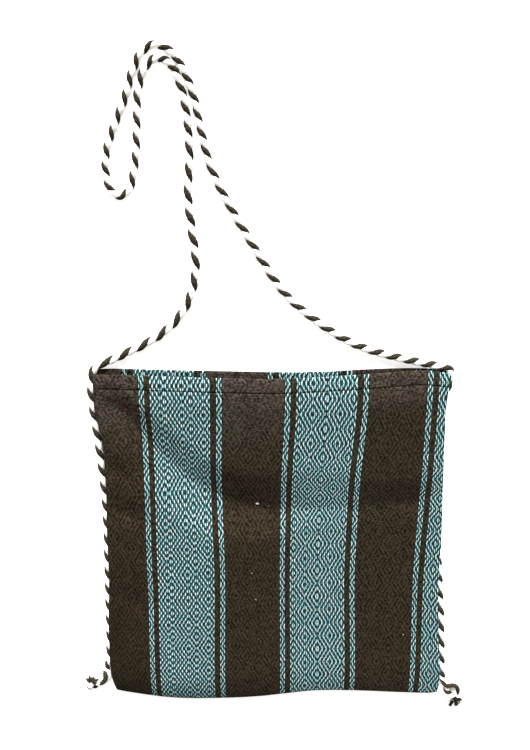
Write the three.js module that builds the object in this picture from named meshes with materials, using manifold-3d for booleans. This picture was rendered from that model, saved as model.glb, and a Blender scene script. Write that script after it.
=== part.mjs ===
// A handwoven shoulder bag with a rope handle, lying flat on its back.
// One length of cloth is folded in half at the bottom and hemmed at both ends, which makes an open
// pocket. One rope is sewn into both side seams, forms the strap between the two mouth corners, and
// ends below each seam in an overhand knot with a frayed tail.
// Millimetres: +X to the right of the front panel, +Y towards the mouth and strap, +Z up from the
// surface that the bag lies on. The origin is on that surface, under the middle of the bag.
import * as THREE from "three";
import { mergeVertices } from "three/addons/utils/BufferGeometryUtils.js";
import Module from "manifold-3d";

// Driving dimensions
const clothThickness = 1.8;
const hemWidth = 14.5;
const hemThickness = 3.2;
const lipHeight = 10.4;
const crownHeight = 13.2;
const crownReach = 110;
const creaseFade = 40;
const bottomFoldHeight = 4.8;
const bottomFoldReach = 42;
const bottomFoldWall = 7;
const edgeRound = 2.2;
const seamWidthLeft = 5.5;
const seamWidthRight = 8.5;
const backPanelInset = 2;
const ropeDiameter = 8;
const ropeSides = 10;
const floorGap = 0.2;
const clearance = 0.3;

// The cloth's side edges, seen from above, from the bottom fold up to the mouth
const sideEdges = [
  { y: -190, left: -176.5, right: 190.2 },
  { y: -168, left: -180.6, right: 191.2 },
  { y: -127, left: -180.5, right: 187.2 },
  { y: -83, left: -178.5, right: 183.5 },
  { y: -42, left: -175.5, right: 181 },
  { y: 26, left: -173.5, right: 179.5 },
  { y: 78, left: -171.5, right: 177 },
  { y: 127, left: -172.5, right: 175 },
  { y: 165, left: -178, right: 174 },
  { y: 198, left: -177, right: 177.5 },
];

// The bottom fold and the two hemmed mouth edges, from left to right
const crossEdges = [
  { x: -182, bottom: -182.5, front: 195, back: 198 },
  { x: -164, bottom: -186.2, front: 196, back: 200 },
  { x: -110, bottom: -194, front: 194.5, back: 199 },
  { x: -45, bottom: -194.3, front: 192.5, back: 197.5 },
  { x: 10, bottom: -190, front: 192, back: 196.5 },
  { x: 50, bottom: -185.5, front: 194, back: 197 },
  { x: 96, bottom: -185.5, front: 197, back: 199.5 },
  { x: 150, bottom: -187, front: 200.5, back: 200.5 },
  { x: 182, bottom: -187, front: 196, back: 197 },
  { x: 191, bottom: -184.8, front: 194, back: 195 },
];

// Creases pressed into the front panel: their lines, and how far each side slopes down to them
const creases = [
  {
    above: 44,
    below: 24,
    line: [
      { x: -172, y: 178, depth: 2.5 },
      { x: -121, y: 142, depth: 4 },
      { x: -74, y: 100, depth: 3.6 },
      { x: -50, y: 77, depth: 4.4 },
      { x: 9, y: 54, depth: 4.6 },
      { x: 61, y: 54, depth: 2.6 },
      { x: 148, y: 71, depth: 3 },
      { x: 176, y: 74, depth: 1 },
    ],
  },
  {
    above: 26,
    below: 16,
    line: [
      { x: -174, y: 67, depth: 2.4 },
      { x: -132, y: 43, depth: 1.8 },
      { x: -108, y: 32, depth: 0 },
    ],
  },
  {
    above: 24,
    below: 18,
    line: [
      { x: -172, y: -20, depth: 1.4 },
      { x: -146, y: -44, depth: 1.4 },
      { x: -120, y: -62, depth: 0 },
    ],
  },
];

// Where the rope runs, along its middle, at one height above the surface
const leftSeamRoute = [
  [-188.6, -155],
  [-184.9, -147.5],
  [-182.6, -137],
  [-180.5, -112],
  [-178.8, -70],
  [-176.5, -14],
  [-174.8, 26],
  [-174.6, 65],
  [-176.2, 103],
  [-178.6, 139],
  [-180.6, 163],
  [-180.2, 186],
  [-177.6, 197.5],
  [-172.5, 203.8],
];
const strapRoute = [
  [-172.5, 203.8],
  [-160, 209],
  [-143.5, 217],
  [-124, 226.5],
  [-104, 239.5],
  [-88, 256.5],
  [-77, 278.5],
  [-72.5, 306],
  [-75.5, 338],
  [-78, 370],
  [-75.5, 404],
  [-77.3, 441],
  [-82.5, 466],
  [-90, 480.5],
  [-100.5, 485.5],
  [-111, 479.5],
  [-119, 461],
  [-121.8, 432],
  [-124.3, 403],
  [-128.4, 383],
  [-132, 373],
  [-139.8, 367.6],
  [-147.8, 371.8],
  [-152, 384],
  [-150.8, 407],
  [-141, 432],
  [-131, 454],
  [-123.5, 475],
  [-114, 491],
  [-102, 496.5],
  [-89, 490.5],
  [-77.5, 474],
  [-70, 453],
  [-65, 428],
  [-54.8, 389.5],
  [-15, 317],
  [10.5, 278.5],
  [37.5, 253.5],
  [85, 224.2],
  [166, 203.3],
];
const rightSeamRoute = [
  [166, 203.3],
  [174.3, 201.6],
  [178.8, 196.4],
  [178.2, 187],
  [174.6, 174],
  [173, 158],
  [173.4, 130],
  [175, 90],
  [176.5, 40],
  [178.6, 2],
  [182.6, -41],
  [186.4, -75],
  [190.3, -118],
  [192.4, -144],
  [193.4, -157],
  [194.8, -168],
];

// Overhand knots: a trefoil opened at one lobe, with the rope led in and the tail led out.
// The lead and the tail are in knot units from the knot's middle.
const knots = [
  { name: "left_knot", x: -196.5, y: -168, turn: 232 },
  { name: "right_knot", x: 206.5, y: -184, turn: 315 },
];
const knotUnit = 2.75;
const knotRise = 3.6;
const knotStrandRadius = 3.1;
const knotHeight = knotRise + knotStrandRadius + floorGap;
const knotLead = [{ along: -2.6, aside: -2.6, rise: -0.85 }];
const knotTail = [
  { along: 2.2, aside: -2.5, rise: 0.5 },
  { along: 3.2, aside: -2.8, rise: -0.4 },
];
const frayedLocks = [
  { swing: -40, length: 9, thickness: 2 },
  { swing: -18, length: 12, thickness: 2.3 },
  { swing: 4, length: 10.5, thickness: 2.3 },
  { swing: 25, length: 12.5, thickness: 2.2 },
  { swing: 46, length: 8.5, thickness: 1.9 },
];
const lockRootDepth = 3;
const lockTipHeight = 1.2;

const wasm = await Module();
wasm.setup();

// Closed meshes are joined and cut as solids
function solidOf(geometry) {
  const weldDistance = 1e-4;
  const bare = geometry.clone();
  bare.deleteAttribute("normal");
  bare.deleteAttribute("uv");
  const merged = mergeVertices(bare, weldDistance);
  return new wasm.Manifold(
    new wasm.Mesh({
      numProp: 3,
      vertProperties: new Float32Array(merged.attributes.position.array),
      triVerts: new Uint32Array(merged.index.array),
    }),
  );
}

function geometryOf(solid) {
  const { vertProperties, triVerts } = solid.getMesh();
  const geometry = new THREE.BufferGeometry();
  geometry.setAttribute("position", new THREE.BufferAttribute(vertProperties, 3));
  geometry.setIndex(new THREE.BufferAttribute(triVerts, 1));
  geometry.computeVertexNormals();
  return geometry;
}

// Smooth value of a table's column between its rows
function between(rows, key, column, at) {
  const last = rows.length - 1;
  let i = 0;
  while (i < last - 1 && at > rows[i + 1][key]) i += 1;
  const slope = (a, b) => (rows[b][column] - rows[a][column]) / (rows[b][key] - rows[a][key]);
  const start = slope(Math.max(i - 1, 0), i + 1);
  const end = slope(i, Math.min(i + 2, last));
  const step = rows[i + 1][key] - rows[i][key];
  const s = THREE.MathUtils.clamp((at - rows[i][key]) / step, 0, 1);
  return (
    rows[i][column] * (1 + 2 * s) * (1 - s) ** 2 +
    start * step * s * (1 - s) ** 2 +
    rows[i + 1][column] * s * s * (3 - 2 * s) +
    end * step * s * s * (s - 1)
  );
}
const leftEdge = (y) => between(sideEdges, "y", "left", y);
const rightEdge = (y) => between(sideEdges, "y", "right", y);
const bottomEdge = (x) => between(crossEdges, "x", "bottom", x);
const frontEdge = (x) => between(crossEdges, "x", "front", x);
const backEdge = (x) => between(crossEdges, "x", "back", x);

// A quarter round that climbs from 0 at an edge to 1 at its reach
function roundRise(distance, reach) {
  const rest = 1 - THREE.MathUtils.clamp(distance / reach, 0, 1);
  return Math.sqrt(1 - rest * rest);
}

// How far the creases draw the front panel down at a point
function creaseDrop(x, y) {
  const point = new THREE.Vector2(x, y);
  let drop = 0;
  for (const { line, above, below } of creases) {
    let nearest = { distance: Infinity };
    for (let i = 0; i + 1 < line.length; i += 1) {
      const from = new THREE.Vector2(line[i].x, line[i].y);
      const run = new THREE.Vector2(line[i + 1].x, line[i + 1].y).sub(from);
      const share = THREE.MathUtils.clamp(point.clone().sub(from).dot(run) / run.lengthSq(), 0, 1);
      const foot = from.addScaledVector(run, share);
      const distance = foot.distanceTo(point);
      if (distance < nearest.distance) {
        const depth = THREE.MathUtils.lerp(line[i].depth, line[i + 1].depth, share);
        nearest = { distance, depth, reach: y > foot.y ? above : below };
      }
    }
    const nearness = Math.max(0, 1 - nearest.distance / nearest.reach);
    drop += nearest.depth * nearness ** 2;
  }
  return drop;
}

// Height of the front panel's outside: rope-high lips at the sides, a low crown between them, and
// the bottom fold
function frontHeight(x, y) {
  const fromSide = Math.max(0, Math.min(x - leftEdge(y), rightEdge(y) - x));
  const fromBottom = y - bottomEdge(x);
  const crown = (crownHeight - lipHeight) * roundRise(fromSide, crownReach);
  const lip = lipHeight - edgeRound * (1 - roundRise(fromSide, edgeRound * 2));
  const open = lip + crown - creaseDrop(x, y) * roundRise(fromSide, creaseFade);
  return bottomFoldHeight + (open - bottomFoldHeight) * roundRise(fromBottom, bottomFoldReach);
}

// A solid with a height surface on top and a flat underside, over a grid of stations
function moundSolid(across, along, place, underside) {
  const columns = across.length;
  const rows = along.length;
  const vertices = along.flatMap((v) => across.map((u) => place(u, v)));
  const index = [];
  for (let r = 0; r + 1 < rows; r += 1) {
    for (let c = 0; c + 1 < columns; c += 1) {
      const a = r * columns + c;
      index.push(a, a + 1, a + columns + 1, a, a + columns + 1, a + columns);
    }
  }
  const rim = [];
  for (let c = 0; c < columns; c += 1) rim.push(c);
  for (let r = 1; r < rows; r += 1) rim.push(r * columns + columns - 1);
  for (let c = columns - 2; c >= 0; c -= 1) rim.push((rows - 1) * columns + c);
  for (let r = rows - 2; r > 0; r -= 1) rim.push(r * columns);
  const first = vertices.length;
  for (const corner of rim) {
    const { x, y } = vertices[corner];
    vertices.push(new THREE.Vector3(x, y, underside));
  }
  rim.forEach((corner, i) => {
    const next = (i + 1) % rim.length;
    index.push(corner, first + i, first + next, corner, first + next, rim[next]);
  });
  const outline = rim.map((corner) => new THREE.Vector2(vertices[corner].x, vertices[corner].y));
  for (const [a, b, c] of THREE.ShapeUtils.triangulateShape(outline, [])) {
    index.push(first + c, first + b, first + a);
  }
  const geometry = new THREE.BufferGeometry().setFromPoints(vertices);
  geometry.setIndex(index);
  return solidOf(geometry);
}

// Stations from 0 to 1: even, closer together near both ends, or closer only near the start
const evenStations = (count) => Array.from({ length: count + 1 }, (_, i) => i / count);
const edgeStations = (count) => {
  const rounding = [0, 0.006, 0.014, 0.03];
  const mirrored = rounding.map((s) => 1 - s).reverse();
  return [...rounding, ...evenStations(count).slice(1, -1), ...mirrored];
};
const foldStations = (count) => [0, 0.007, 0.018, ...evenStations(count).slice(1)];

// A point of the bag's outline grid, kept in from the side edges and the bottom fold by its insets
const lowestY = sideEdges[0].y;
const highestY = sideEdges.at(-1).y;
function outlinePoint(u, v, inset, topEdge) {
  const level = THREE.MathUtils.lerp(lowestY, highestY, v);
  const x = THREE.MathUtils.lerp(leftEdge(level) + inset.left, rightEdge(level) - inset.right, u);
  const y = THREE.MathUtils.lerp(bottomEdge(x) + inset.bottom, topEdge(x), v);
  return new THREE.Vector3(x, y, 0);
}

// A tube of rope or yarn along a curve
function tube(curve, radius, steps, sides) {
  const rim = evenStations(sides)
    .slice(1)
    .map((s) => new THREE.Vector2(radius, 0).rotateAround(new THREE.Vector2(), s * 2 * Math.PI));
  return new THREE.ExtrudeGeometry(new THREE.Shape(rim), { steps, extrudePath: curve });
}
const curveThrough = (points) => new THREE.CatmullRomCurve3(points, false, "centripetal");

// One rope from knot to knot, in three runs that share their end points
const ropeHeight = ropeDiameter / 2 + floorGap;
const ropeRoute = [...leftSeamRoute, ...strapRoute.slice(1), ...rightSeamRoute.slice(1)];
const wholeRope = curveThrough(ropeRoute.map(([x, y]) => new THREE.Vector3(x, y, ropeHeight)));
const leftCorner = leftSeamRoute.length - 1;
const rightCorner = leftCorner + strapRoute.length - 1;
const ropeEnd = ropeRoute.length - 1;
const ropeRuns = [
  { name: "left_seam_rope", from: 0, to: leftCorner, steps: 28 },
  { name: "strap_rope", from: leftCorner, to: rightCorner, steps: 80 },
  { name: "right_seam_rope", from: rightCorner, to: ropeEnd, steps: 32 },
];

// A run's own curve, stopped short of the next run by half the clearance
function runCurve({ from, to }) {
  const samplesPerSpan = 60;
  const points = evenStations((to - from) * samplesPerSpan).map((s) =>
    wholeRope.getPoint(THREE.MathUtils.lerp(from, to, s) / ropeEnd),
  );
  const startGap = from === 0 ? 0 : clearance / 2;
  const endGap = to === ropeEnd ? 0 : clearance / 2;
  const clear = (p) => p.distanceTo(points[0]) >= startGap && p.distanceTo(points.at(-1)) >= endGap;
  return curveThrough(points.filter(clear));
}

// Folded cloth: the pocket's outside, less its hollow and the beds that the rope lies in
function clothGeometry() {
  const outside = moundSolid(
    edgeStations(24),
    foldStations(26),
    (u, v) => {
      const point = outlinePoint(u, v, { left: 0, right: 0, bottom: 0 }, frontEdge);
      return point.setZ(frontHeight(point.x, point.y));
    },
    0,
  );
  const backInset = { left: backPanelInset, right: backPanelInset, bottom: backPanelInset };
  const backPanel = moundSolid(
    evenStations(16),
    evenStations(8),
    (u, v) => outlinePoint(u, v, backInset, backEdge).setZ(clothThickness),
    0,
  );

  // The hollow runs out past the mouth, and its ceiling is lower where the front is hemmed
  const hollowInset = { left: seamWidthLeft, right: seamWidthRight, bottom: bottomFoldWall };
  const pastMouth = (x) => frontEdge(x) + hemWidth;
  const hollow = moundSolid(
    evenStations(24),
    evenStations(27),
    (u, v) => {
      const point = outlinePoint(u, v, hollowInset, pastMouth);
      const edge = frontEdge(point.x);
      const wall = point.y > edge - hemWidth ? hemThickness : clothThickness;
      return point.setZ(frontHeight(point.x, Math.min(point.y, edge)) - wall);
    },
    clothThickness,
  );

  // The back panel's hem is turned in over its last stretch
  const hemInset = { left: seamWidthLeft + 1, right: seamWidthRight + 1, bottom: 0 };
  const backHem = moundSolid(
    evenStations(16),
    evenStations(1),
    (u, v) => {
      const rim = outlinePoint(u, 1, hemInset, backEdge);
      return rim.setY(rim.y - hemWidth * (1 - v)).setZ(hemThickness);
    },
    clothThickness / 2,
  );
  let cloth = outside.add(backPanel).subtract(hollow).add(backHem);
  for (const run of ropeRuns) {
    const bed = tube(runCurve(run), ropeDiameter / 2 + clearance, run.steps, ropeSides);
    cloth = cloth.subtract(solidOf(bed));
  }

  // Slivers that the beds cut off outside the rope are left out
  const pieces = cloth.decompose().sort((a, b) => b.volume() - a.volume());
  return geometryOf(pieces[0]);
}

// Overhand knot with its frayed tail, fused into one solid, taken on from where the seam's rope ends
function knotGeometry({ x, y, turn }, start, way) {
  const place = (along, aside, height) =>
    new THREE.Vector3(along, aside, 0)
      .multiplyScalar(knotUnit)
      .applyAxisAngle(new THREE.Vector3(0, 0, 1), THREE.MathUtils.degToRad(turn))
      .add(new THREE.Vector3(x, y, height));
  const fromTable = ({ along, aside, rise }) => place(along, aside, knotHeight + rise * knotRise);
  const openedLobe = Math.PI / 6;
  const trefoil = evenStations(14).map((s) => {
    const t = THREE.MathUtils.lerp(3 * Math.PI - openedLobe, Math.PI + openedLobe, s);
    const along = Math.sin(t) + 2 * Math.sin(2 * t);
    const aside = Math.cos(t) - 2 * Math.cos(2 * t);
    return place(along, aside, knotHeight - Math.sin(3 * t) * knotRise);
  });
  const entry = [1, 6].map((gaps) => start.clone().addScaledVector(way, gaps * clearance));
  const lead = knotLead.map(fromTable);
  const tail = knotTail.map(fromTable);
  const curve = curveThrough([...entry, ...lead, ...trefoil, ...tail]);

  // The strand crosses itself, so it is made in three lengths that overlap a little
  const lengths = [
    { from: 0, to: 0.36 },
    { from: 0.32, to: 0.68 },
    { from: 0.64, to: 1 },
  ];
  const strands = lengths.map(({ from, to }) => {
    const points = evenStations(120).map((s) => curve.getPointAt(THREE.MathUtils.lerp(from, to, s)));
    return solidOf(tube(curveThrough(points), knotStrandRadius, 10, 7));
  });

  // Locks of loosened yarn fan out of the tail and sink to the surface
  const tailEnd = curve.getPointAt(1);
  const tailWay = curve.getTangentAt(1);
  const heading = Math.atan2(tailWay.y, tailWay.x);
  const locks = frayedLocks.map(({ swing, length, thickness }) => {
    const spread = heading + THREE.MathUtils.degToRad(swing);
    const reach = new THREE.Vector3(Math.cos(spread), Math.sin(spread), 0).multiplyScalar(length);
    const tip = tailEnd.clone().add(reach).setZ(lockTipHeight);
    const root = tailEnd.clone().addScaledVector(tailWay, -lockRootDepth);
    root.z = Math.max(root.z, thickness + floorGap);
    const run = tip.clone().sub(root);
    const lock = new THREE.ConeGeometry(thickness, run.length(), 6, 1);
    const upright = new THREE.Vector3(0, 1, 0);
    lock.applyQuaternion(new THREE.Quaternion().setFromUnitVectors(upright, run.normalize()));
    const centre = root.add(tip).multiplyScalar(0.5);
    return solidOf(lock.translate(centre.x, centre.y, centre.z));
  });
  return geometryOf([...strands, ...locks].reduce((knot, piece) => knot.add(piece)));
}

// Materials
const wovenCloth = new THREE.MeshStandardMaterial({ color: 0x3c4d50, roughness: 0.95 });
const twistedRope = new THREE.MeshStandardMaterial({ color: 0xa8a294, roughness: 0.95 });

const bag = new THREE.Group();
function addPiece(name, geometry, material) {
  const piece = new THREE.Mesh(geometry, material);
  piece.name = name;
  bag.add(piece);
}

addPiece("cloth_body", clothGeometry(), wovenCloth);
for (const run of ropeRuns) {
  addPiece(run.name, tube(runCurve(run), ropeDiameter / 2, run.steps, ropeSides), twistedRope);
}
const [leftKnot, rightKnot] = knots;
const leftWay = wholeRope.getTangent(0).negate();
const rightWay = wholeRope.getTangent(1);
addPiece(leftKnot.name, knotGeometry(leftKnot, wholeRope.getPoint(0), leftWay), twistedRope);
addPiece(rightKnot.name, knotGeometry(rightKnot, wholeRope.getPoint(1), rightWay), twistedRope);

export default bag;
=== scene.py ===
import math
import random

import bpy
import numpy as np
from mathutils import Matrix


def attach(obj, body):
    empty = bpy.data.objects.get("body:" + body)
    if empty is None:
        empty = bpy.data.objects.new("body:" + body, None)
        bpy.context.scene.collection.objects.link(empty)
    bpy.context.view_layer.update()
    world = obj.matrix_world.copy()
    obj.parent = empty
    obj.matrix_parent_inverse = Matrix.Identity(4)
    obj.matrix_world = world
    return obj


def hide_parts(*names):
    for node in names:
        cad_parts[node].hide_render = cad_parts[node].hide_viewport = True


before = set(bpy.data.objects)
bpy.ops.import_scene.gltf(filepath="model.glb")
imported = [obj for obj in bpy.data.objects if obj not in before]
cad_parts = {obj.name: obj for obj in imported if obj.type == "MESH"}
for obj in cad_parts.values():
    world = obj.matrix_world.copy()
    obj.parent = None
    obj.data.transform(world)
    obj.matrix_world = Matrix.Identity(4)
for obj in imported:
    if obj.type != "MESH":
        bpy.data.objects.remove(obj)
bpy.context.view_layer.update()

scene = bpy.context.scene


# Camera
# The bag lies flat and was photographed from above, leaning a little back from straight down,
# from over its strap.
camera_data = bpy.data.cameras.new("camera")
camera_data.lens = 36.43
camera_data.sensor_width = 36.0
camera = bpy.data.objects.new("camera", camera_data)
camera.location = (-0.0070, 0.4269, 0.7200)
camera.rotation_euler = (math.radians(-18), 0, 0)
scene.collection.objects.link(camera)
scene.camera = camera


# Rope: strap and side seams
# One rope of a dark and a pale ply, laid up to the left, runs up the left side seam, makes the strap
# and goes down the right side seam. It is sewn to the cloth along both seams.
rope_height = 0.0042
rope_diameter = 0.0080
rope_spacing = 0.001
left_seam_route = [
    (-0.1866, -0.1546), (-0.1841, -0.1472), (-0.1824, -0.1370), (-0.1805, -0.1120),
    (-0.1788, -0.0700), (-0.1765, -0.0140), (-0.1748, 0.0260), (-0.1746, 0.0650),
    (-0.1762, 0.1030), (-0.1786, 0.1390), (-0.1806, 0.1630), (-0.1802, 0.1860),
    (-0.1776, 0.1975), (-0.1725, 0.2038),
]
strap_route = [
    (-0.1725, 0.2038), (-0.1600, 0.2090), (-0.1435, 0.2170), (-0.1240, 0.2265),
    (-0.1040, 0.2395), (-0.0880, 0.2565), (-0.0770, 0.2785), (-0.0725, 0.3060),
    (-0.0755, 0.3380), (-0.0780, 0.3700), (-0.0755, 0.4040), (-0.0773, 0.4410),
    (-0.0825, 0.4660), (-0.0900, 0.4805), (-0.1005, 0.4855), (-0.1110, 0.4795),
    (-0.1190, 0.4610), (-0.1218, 0.4320), (-0.1243, 0.4030), (-0.1284, 0.3830),
    (-0.1320, 0.3730), (-0.1398, 0.3676), (-0.1478, 0.3718), (-0.1520, 0.3840),
    (-0.1508, 0.4070), (-0.1410, 0.4320), (-0.1310, 0.4540), (-0.1235, 0.4750),
    (-0.1140, 0.4910), (-0.1020, 0.4965), (-0.0890, 0.4905), (-0.0775, 0.4740),
    (-0.0700, 0.4530), (-0.0650, 0.4280), (-0.0548, 0.3895), (-0.0150, 0.3170),
    (0.0105, 0.2785), (0.0375, 0.2535), (0.0850, 0.2242), (0.1660, 0.2033),
]
right_seam_route = [
    (0.1660, 0.2033), (0.1740, 0.2016), (0.1778, 0.1964), (0.1768, 0.1870),
    (0.1732, 0.1740), (0.1716, 0.1580), (0.1720, 0.1300), (0.1736, 0.0900),
    (0.1753, 0.0400), (0.1780, 0.0020), (0.1826, -0.0410), (0.1864, -0.0750),
    (0.1903, -0.1180), (0.1924, -0.1440), (0.1934, -0.1570), (0.1948, -0.1680),
]

# Turns of the lay, counted along the rope from the left knot
turn_places = [
    0.0000, 0.0225, 0.2055, 0.3495, 0.4770, 0.6185, 0.6885, 0.7120, 0.8340,
    0.9645, 1.0915, 1.2050, 1.3140, 1.4215, 1.6415, 1.7695, 1.8000,
]
turn_counts = [-1.2, 0, 9, 16, 22, 29, 33, 35, 42, 50, 58, 64, 70, 76, 87, 93, 94.5]

# The dark ply is spun unevenly: how much thicker it is, by the same distance
swell_places = [0.00, 0.32, 0.35, 0.55, 0.66, 1.05, 1.20, 1.40, 1.46, 1.60, 1.66, 1.80]
dark_swells = [1.05, 1.08, 1.25, 1.22, 1.00, 1.00, 1.08, 1.18, 1.00, 1.00, 1.08, 1.08]


def smooth_route(points, spacing):
    """Evenly spaced points on one smooth curve through a route, and their distances along it."""
    steps_between = 60
    route = np.array(points)
    route = np.vstack([2 * route[0] - route[1], route, 2 * route[-1] - route[-2]])
    gaps = np.linalg.norm(np.diff(route, axis=0), axis=1) ** 0.5
    s = np.linspace(0, 1, steps_between, endpoint=False)[:, None]
    curve = []
    for i in range(1, len(route) - 2):
        before, start, end, after = route[i - 1:i + 3]
        gap_before, gap, gap_after = gaps[i - 1:i + 2]
        run = (end - start) / gap
        leave = (start - before) / gap_before - (end - before) / (gap_before + gap) + run
        arrive = run - (after - start) / (gap + gap_after) + (after - end) / gap_after
        curve.append(
            start * (1 + 2 * s) * (1 - s) ** 2 + leave * gap * s * (1 - s) ** 2
            + end * s * s * (3 - 2 * s) + arrive * gap * s * s * (s - 1)
        )
    curve = np.vstack(curve + [route[-2:-1]])
    steps = np.linalg.norm(np.diff(curve, axis=0), axis=1)
    lengths = np.concatenate([[0], np.cumsum(steps)])
    stations = np.linspace(0, lengths[-1], round(lengths[-1] / spacing) + 1)
    even = np.stack([np.interp(stations, lengths, curve[:, k]) for k in range(3)], axis=1)
    return even, stations


def unit(vectors):
    """The same directions at length one."""
    return vectors / np.linalg.norm(vectors, axis=1)[:, None]


def ply_rings(path, turns, winding_radius, ply_radius, start_angle, stations):
    """Rings of points round one ply that winds about a rope's middle, fluted by its own yarns."""
    yarns = 5
    flute_depth = 0.13
    yarn_pitch = 0.0125
    yarn_roundness = 0.6
    sides = 20
    way = unit(np.gradient(path, axis=0))
    aside = unit(np.stack([-way[:, 1], way[:, 0], np.zeros(len(way))], axis=1))
    upward = np.cross(way, aside)
    angle = (start_angle - 2 * np.pi * turns)[:, None]
    out = np.cos(angle) * aside + np.sin(angle) * upward
    axis = path + winding_radius * out
    ply_way = unit(np.gradient(axis, axis=0))
    out = unit(out - np.sum(out * ply_way, axis=1)[:, None] * ply_way)
    around = np.cross(ply_way, out)
    theta = np.linspace(0, 2 * np.pi, sides, endpoint=False)[None, :]
    yarn_angle = theta - 2 * np.pi * stations[:, None] / yarn_pitch
    ridge = np.abs(np.cos(yarns / 2 * yarn_angle)) ** yarn_roundness
    radius = (ply_radius * (1 - flute_depth + flute_depth * ridge))[:, :, None]
    return axis[:, None] + radius * (
        np.cos(theta)[:, :, None] * out[:, None] + np.sin(theta)[:, :, None] * around[:, None]
    )


def tube_mesh(name, tubes, materials):
    """One mesh of closed tubes, each given as rings of points, its material's number and distances."""
    vertices = []
    faces = []
    face_materials = []
    coordinates = []
    for rings, material, stations in tubes:
        first = len(vertices)
        count, sides = rings.shape[:2]
        vertices.extend(map(tuple, rings.reshape(-1, 3)))
        for i in range(count - 1):
            for k in range(sides):
                a = first + i * sides + k
                b = first + i * sides + (k + 1) % sides
                faces.append((a, b, b + sides, a + sides))
                left, right = k / sides, (k + 1) / sides
                low, high = stations[i], stations[i + 1]
                coordinates.extend([(left, low), (right, low), (right, high), (left, high)])
        last = first + (count - 1) * sides
        faces.append(tuple(first + k for k in reversed(range(sides))))
        coordinates.extend((k / sides, stations[0]) for k in reversed(range(sides)))
        faces.append(tuple(last + k for k in range(sides)))
        coordinates.extend((k / sides, stations[-1]) for k in range(sides))
        face_materials.extend([material] * ((count - 1) * sides + 2))
    mesh = bpy.data.meshes.new(name)
    mesh.from_pydata(vertices, [], faces)
    mesh.polygons.foreach_set("material_index", face_materials)
    mesh.polygons.foreach_set("use_smooth", [True] * len(faces))
    layer = mesh.uv_layers.new(name="lay")
    layer.data.foreach_set("uv", np.array(coordinates).ravel())
    for material in materials:
        mesh.materials.append(material)
    piece = bpy.data.objects.new(name, mesh)
    scene.collection.objects.link(piece)
    return piece


def spun_fibre_group():
    """Streaks, fuzz and yarn twist on a rope's ply, from its distance along and angle around. The colour
    follows the relief, so the grooves between yarns are painted in the deep colour as shade.
    """
    twist_share = 0.55
    group = bpy.data.node_groups.new("spun_fibre", "ShaderNodeTree")
    group.interface.new_socket("Light", in_out="INPUT", socket_type="NodeSocketColor")
    group.interface.new_socket("Deep", in_out="INPUT", socket_type="NodeSocketColor")
    group.interface.new_socket("Color", in_out="OUTPUT", socket_type="NodeSocketColor")
    group.interface.new_socket("Height", in_out="OUTPUT", socket_type="NodeSocketFloat")
    nodes, links = group.nodes, group.links
    inlet = nodes.new("NodeGroupInput")
    outlet = nodes.new("NodeGroupOutput")
    lay = nodes.new("ShaderNodeUVMap")
    lay.uv_map = "lay"
    place = nodes.new("ShaderNodeMapping")
    place.inputs["Scale"].default_value = (1, 80, 1)
    links.new(lay.outputs["UV"], place.inputs["Vector"])
    twist = nodes.new("ShaderNodeTexWave")
    twist.wave_type = "BANDS"
    twist.bands_direction = "DIAGONAL"
    twist.inputs["Scale"].default_value = 2.2
    twist.inputs["Distortion"].default_value = 1.6
    twist.inputs["Detail"].default_value = 2
    twist.inputs["Detail Scale"].default_value = 3
    links.new(place.outputs["Vector"], twist.inputs["Vector"])
    coordinates = nodes.new("ShaderNodeTexCoord")
    fuzz = nodes.new("ShaderNodeTexNoise")
    fuzz.inputs["Scale"].default_value = 1500
    fuzz.inputs["Detail"].default_value = 3
    links.new(coordinates.outputs["Object"], fuzz.inputs["Vector"])
    both = nodes.new("ShaderNodeMath")
    both.operation = "MULTIPLY_ADD"
    both.inputs[1].default_value = twist_share
    links.new(twist.outputs["Fac"], both.inputs[0])
    links.new(fuzz.outputs["Fac"], both.inputs[2])
    tone = nodes.new("ShaderNodeMapRange")
    tone.inputs["From Min"].default_value = 0.3
    tone.inputs["From Max"].default_value = 1.05
    links.new(both.outputs["Value"], tone.inputs["Value"])
    colour = nodes.new("ShaderNodeMix")
    colour.data_type = "RGBA"
    links.new(tone.outputs["Result"], colour.inputs["Factor"])
    links.new(inlet.outputs["Deep"], colour.inputs["A"])
    links.new(inlet.outputs["Light"], colour.inputs["B"])
    links.new(colour.outputs["Result"], outlet.inputs["Color"])
    links.new(both.outputs["Value"], outlet.inputs["Height"])
    return group


def ply_material(name, light, deep, relief_strength, group):
    """Spun yarn of one colour."""
    material = bpy.data.materials.new(name)
    material.use_nodes = True
    nodes, links = material.node_tree.nodes, material.node_tree.links
    shader = nodes["Principled BSDF"]
    shader.inputs["Roughness"].default_value = 0.92
    shader.inputs["Specular IOR Level"].default_value = 0.05
    fibre = nodes.new("ShaderNodeGroup")
    fibre.node_tree = group
    fibre.inputs["Light"].default_value = (*light, 1)
    fibre.inputs["Deep"].default_value = (*deep, 1)
    relief = nodes.new("ShaderNodeBump")
    relief.inputs["Strength"].default_value = relief_strength
    relief.inputs["Distance"].default_value = 0.0006
    links.new(fibre.outputs["Color"], shader.inputs["Base Color"])
    links.new(fibre.outputs["Height"], relief.inputs["Height"])
    links.new(relief.outputs["Normal"], shader.inputs["Normal"])
    return material


spun_fibre = spun_fibre_group()
dark_ply = ply_material("dark_ply", (0.032, 0.0255, 0.0175), (0.008, 0.0062, 0.0042), 0.7, spun_fibre)
pale_ply = ply_material("pale_ply", (0.95, 0.94, 0.90), (0.90, 0.87, 0.81), 0.35, spun_fibre)
ply_materials = [dark_ply, pale_ply]

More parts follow.
